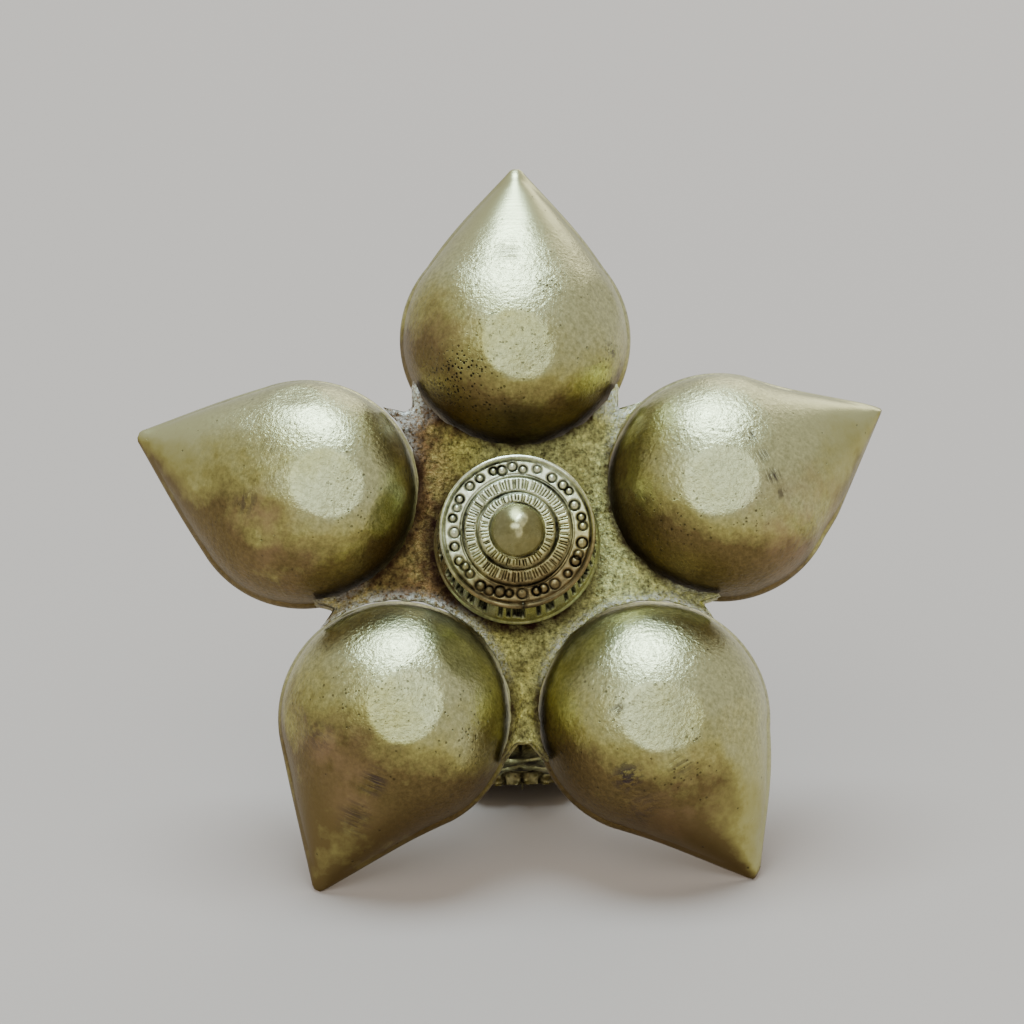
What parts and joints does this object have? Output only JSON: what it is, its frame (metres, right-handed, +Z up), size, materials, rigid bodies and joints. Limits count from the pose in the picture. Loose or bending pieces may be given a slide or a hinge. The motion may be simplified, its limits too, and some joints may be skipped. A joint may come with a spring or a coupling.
{
  "type": "hanging oil lamp",
  "caption": "Cast brass hanging oil lamp: a star of spouted wick cups under a peacock, with a chain and a hook, shown resting on two spouts and its eye.",
  "frame": {"origin": "middle of the footprint, on the table that the lamp rests on", "axes": "+Z up; +X to the right as the underside is seen; +Y away from the underside, along the chain"},
  "size_m": [0.1482, 0.395, 0.1257],
  "materials": {
    "cup_brass": "aged satin brass, ground and faintly brushed, with pinholes",
    "web_brass": "rough as-cast brass with brown patina in the crevices",
    "boss_brass": "turned and engraved pale brass, dark in the engraving",
    "bird_brass": "cast and hand-engraved aged brass",
    "chain_brass": "drawn brass wire, dull",
    "stud_steel": "plain steel stud"
  },
  "bodies": {
    "lamp": {"cup_top": "cup_brass", "cup_right": "cup_brass", "cup_lower_right": "cup_brass", "cup_lower_left": "cup_brass", "cup_left": "cup_brass", "hub_web": "web_brass", "base_boss": "boss_brass", "clamp_stud": "stud_steel", "pedestal": "bird_brass", "peacock_body": "bird_brass", "hang_eye": "chain_brass"},
    "chain_link_01": {"chain_link_01": "chain_brass"},
    "chain_link_02": {"chain_link_02": "chain_brass"},
    "chain_link_03": {"chain_link_03": "chain_brass"},
    "chain_link_04": {"chain_link_04": "chain_brass"},
    "chain_link_05": {"chain_link_05": "chain_brass"},
    "chain_link_06": {"chain_link_06": "chain_brass"},
    "chain_link_07": {"chain_link_07": "chain_brass"},
    "chain_link_08": {"chain_link_08": "chain_brass"},
    "chain_link_09": {"chain_link_09": "chain_brass"},
    "chain_link_10": {"chain_link_10": "chain_brass"},
    "chain_link_11": {"chain_link_11": "chain_brass"},
    "chain_link_12": {"chain_link_12": "chain_brass"},
    "hanging_hook": {"hanging_hook": "chain_brass"}
  },
  "joints": [
    {"name": "chain_link_01_swing", "type": "hinge", "parent": "lamp", "child": "chain_link_01", "pos_m": [0.00042, -0.06291, 0.00714], "axis": [0, 0.1467, 0.9892], "range_deg": [-40, 40]},
    {"name": "chain_link_02_swing", "type": "hinge", "parent": "chain_link_01", "child": "chain_link_02", "pos_m": [0.00042, -0.04619, 0.00466], "axis": [-0.9397, -0.0502, -0.3383], "range_deg": [-40, 40]},
    {"name": "chain_link_03_swing", "type": "hinge", "parent": "chain_link_02", "child": "chain_link_03", "pos_m": [0.00073, -0.02849, 0.00466], "axis": [0.5735, -0.01, -0.8192], "range_deg": [-40, 40]},
    {"name": "chain_link_04_swing", "type": "hinge", "parent": "chain_link_03", "child": "chain_link_04", "pos_m": [0.00166, -0.01083, 0.00419], "axis": [0.7659, -0.023, 0.6426], "range_deg": [-40, 40]},
    {"name": "chain_link_05_swing", "type": "hinge", "parent": "chain_link_04", "child": "chain_link_05", "pos_m": [0.00351, 0.00678, 0.00419], "axis": [0.7032, -0.0739, -0.7071], "range_deg": [-40, 40]},
    {"name": "chain_link_06_swing", "type": "hinge", "parent": "chain_link_05", "child": "chain_link_06", "pos_m": [0.00628, 0.02426, 0.00419], "axis": [-0.6984, 0.1106, -0.7071], "range_deg": [-40, 40]},
    {"name": "chain_link_07_swing", "type": "hinge", "parent": "chain_link_06", "child": "chain_link_07", "pos_m": [0.00965, 0.04163, 0.00419], "axis": [-0.6941, 0.1349, 0.7071], "range_deg": [-40, 40]},
    {"name": "chain_link_08_swing", "type": "hinge", "parent": "chain_link_07", "child": "chain_link_08", "pos_m": [0.01333, 0.05895, 0.00419], "axis": [-0.6917, 0.147, -0.7071], "range_deg": [-40, 40]},
    {"name": "chain_link_09_swing", "type": "hinge", "parent": "chain_link_08", "child": "chain_link_09", "pos_m": [0.01671, 0.07632, 0.00419], "axis": [0.6941, -0.1349, -0.7071], "range_deg": [-40, 40]},
    {"name": "chain_link_10_swing", "type": "hinge", "parent": "chain_link_09", "child": "chain_link_10", "pos_m": [0.01917, 0.09385, 0.00419], "axis": [0.7002, -0.0984, 0.7071], "range_deg": [-40, 40]},
    {"name": "chain_link_11_swing", "type": "hinge", "parent": "chain_link_10", "child": "chain_link_11", "pos_m": [0.02072, 0.11148, 0.00419], "axis": [-0.7044, 0.0616, 0.7071], "range_deg": [-40, 40]},
    {"name": "chain_link_12_swing", "type": "hinge", "parent": "chain_link_11", "child": "chain_link_12", "pos_m": [0.02133, 0.12917, 0.00419], "axis": [0.7067, -0.0247, 0.7071], "range_deg": [-40, 40]},
    {"name": "hanging_hook_swing", "type": "hinge", "parent": "chain_link_12", "child": "hanging_hook", "pos_m": [0.02133, 0.14685, 0.00507], "axis": [0.7071, 0.0353, -0.7062], "range_deg": [-40, 40]}
  ]
}
